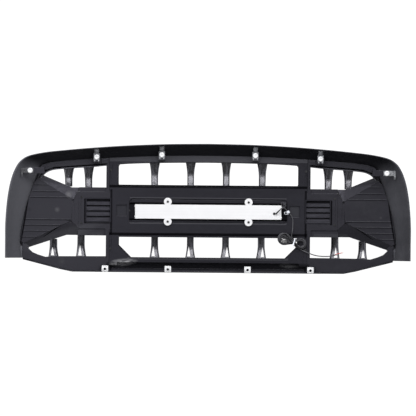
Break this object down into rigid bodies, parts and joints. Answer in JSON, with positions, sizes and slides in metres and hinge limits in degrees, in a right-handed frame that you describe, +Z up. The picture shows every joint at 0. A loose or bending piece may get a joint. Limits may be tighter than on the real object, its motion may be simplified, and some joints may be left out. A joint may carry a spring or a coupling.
{
  "type": "front grille",
  "caption": "Full-width pickup front grille with barred windows, ribbed wings, side vents and a light bar set in its centre beam; clip nuts around the back take the mounting bolts.",
  "frame": {"origin": "centre of the grille's bounding box, without the cord", "axes": "+Z up as installed, +Y forward through the grille's face, +X to the right-hand side of the vehicle"},
  "size_m": [1.1616, 0.1419, 0.371],
  "materials": {
    "surround_plastic": "satin moulded plastic, fine grain",
    "panel_plastic": "satin moulded plastic",
    "gloss_plastic": "gloss black",
    "white_housing": "white powder coat on aluminium",
    "black_screws": "black oxide",
    "zinc_steel": "bright zinc plate",
    "circuit_board": "solder mask",
    "led_phosphor": "LED phosphor",
    "reflector": "metallised",
    "clear_lens": "clear polycarbonate",
    "gasket_rubber": "matt",
    "cord_jacket": "satin PVC jacket",
    "white_nylon": "natural nylon",
    "red_wire": "red insulation",
    "bare_wire": "black insulation"
  },
  "bodies": {
    "root": {"outer_surround": "surround_plastic", "lower_valance": "panel_plastic", "centre_frame": "panel_plastic", "left_side_frame": "panel_plastic", "right_side_frame": "panel_plastic", "left_wing": "panel_plastic", "right_wing": "panel_plastic", "left_vent": "panel_plastic", "right_vent": "panel_plastic", "centre_fascia": "gloss_plastic", "upper_strut_1": "gloss_plastic", "upper_strut_2": "gloss_plastic", "upper_strut_3": "gloss_plastic", "upper_strut_4": "gloss_plastic", "upper_strut_5": "gloss_plastic", "upper_strut_6": "gloss_plastic", "upper_strut_7": "gloss_plastic", "upper_strut_8": "gloss_plastic", "lower_strut_1": "gloss_plastic", "lower_strut_2": "gloss_plastic", "lower_strut_3": "gloss_plastic", "lower_strut_4": "gloss_plastic", "lower_strut_5": "gloss_plastic", "lower_strut_6": "gloss_plastic", "lower_strut_7": "gloss_plastic", "lower_strut_8": "gloss_plastic", "light_housing": "white_housing", "left_light_end_cap": "white_housing", "right_light_end_cap": "white_housing", "light_circuit_board": "circuit_board", "light_leds": "led_phosphor", "light_reflector": "reflector", "light_gasket": "gasket_rubber", "light_lens": "clear_lens", "light_mounting_screws": "black_screws", "light_end_cap_screws": "zinc_steel", "cable_gland": "cord_jacket", "cord_lead": "cord_jacket", "cord_hank": "cord_jacket", "cord_tail": "cord_jacket", "cable_tie": "white_nylon", "red_wire_end": "red_wire", "black_wire_end": "bare_wire", "cable_ring_clip": "white_nylon", "recess_screws": "black_screws", "top_inner_clip_nuts": "zinc_steel", "top_outer_clip_nuts": "zinc_steel", "corner_clip_nuts": "zinc_steel", "bottom_inner_clip_nuts": "zinc_steel", "bottom_outer_clip_nuts": "zinc_steel", "frame_screws": "black_screws", "wing_screws": "black_screws"}
  },
  "joints": []
}
